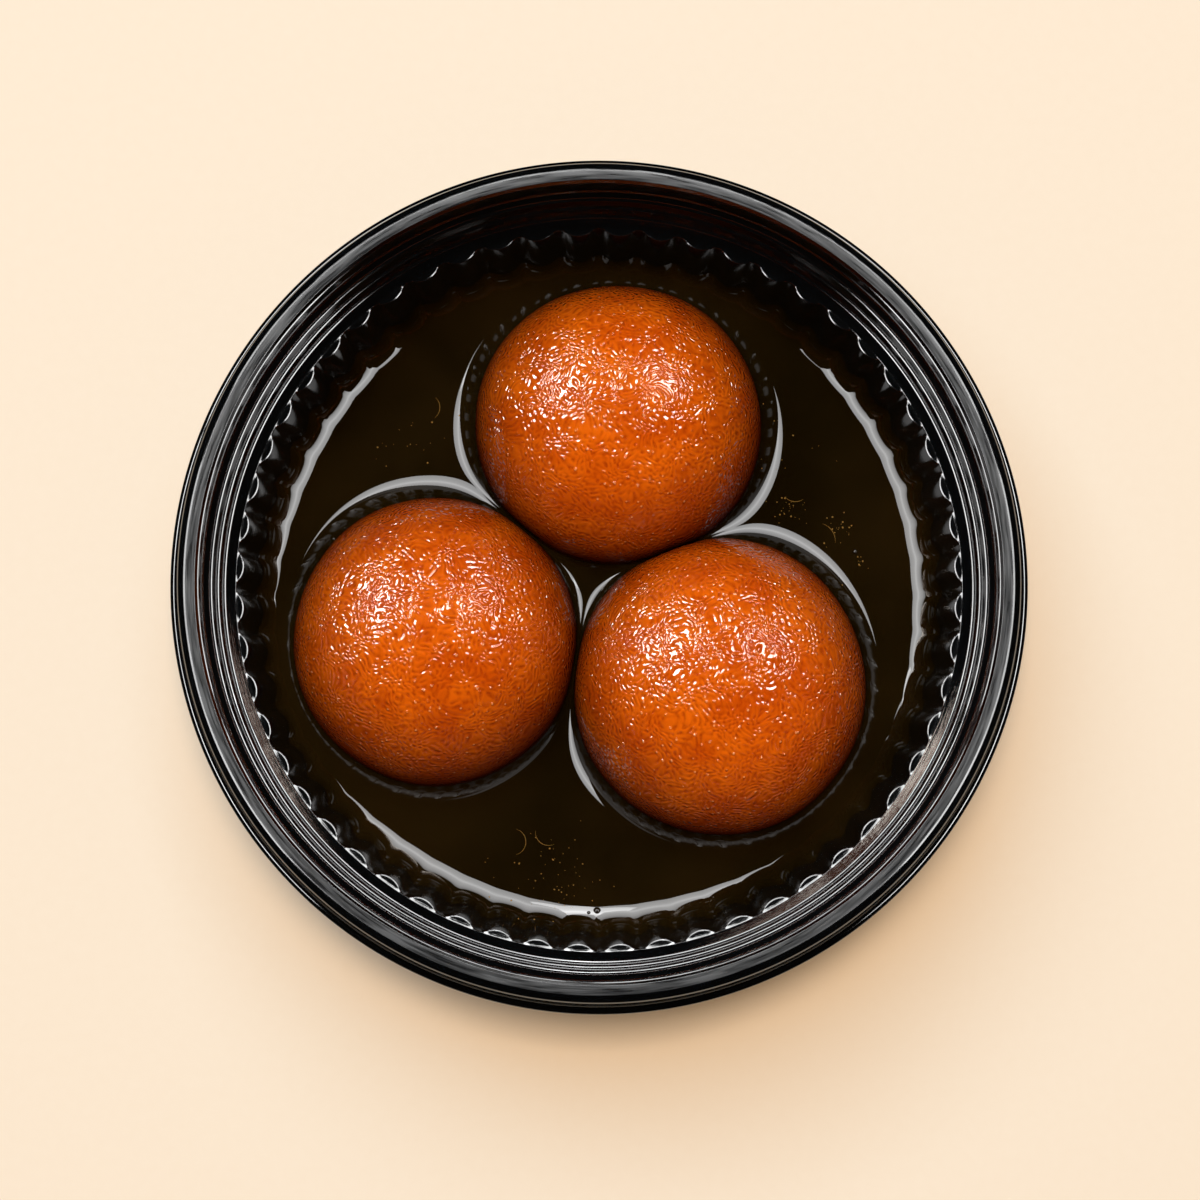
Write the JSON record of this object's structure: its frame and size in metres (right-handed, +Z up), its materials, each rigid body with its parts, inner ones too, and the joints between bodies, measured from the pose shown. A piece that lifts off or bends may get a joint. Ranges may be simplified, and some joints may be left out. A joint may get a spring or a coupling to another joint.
{
  "type": "gulab jamun",
  "caption": "Soaked fried dough balls leaning together in thin sugar syrup, in a round black fluted takeaway bowl with a stepped rim.",
  "frame": {"origin": "centre of the bowl's foot, on the surface it stands on", "axes": "+Z up along the bowl's axis; +Y from the centre towards the back ball; +X towards the right ball's side"},
  "size_m": [0.12, 0.12, 0.046],
  "materials": {
    "black_plastic": "moulded black plastic, glossy inside, satin on the crest of the rim",
    "syrup": "thin clear sugar syrup that looks dark brown over the black bowl",
    "fried_dough": "deep orange brown fried skin with fine wrinkles, wet with syrup"
  },
  "bodies": {
    "root": {"bowl": "black_plastic", "syrup": "syrup", "gulab_jamun_back": "fried_dough", "gulab_jamun_left": "fried_dough", "gulab_jamun_right": "fried_dough"}
  },
  "joints": []
}
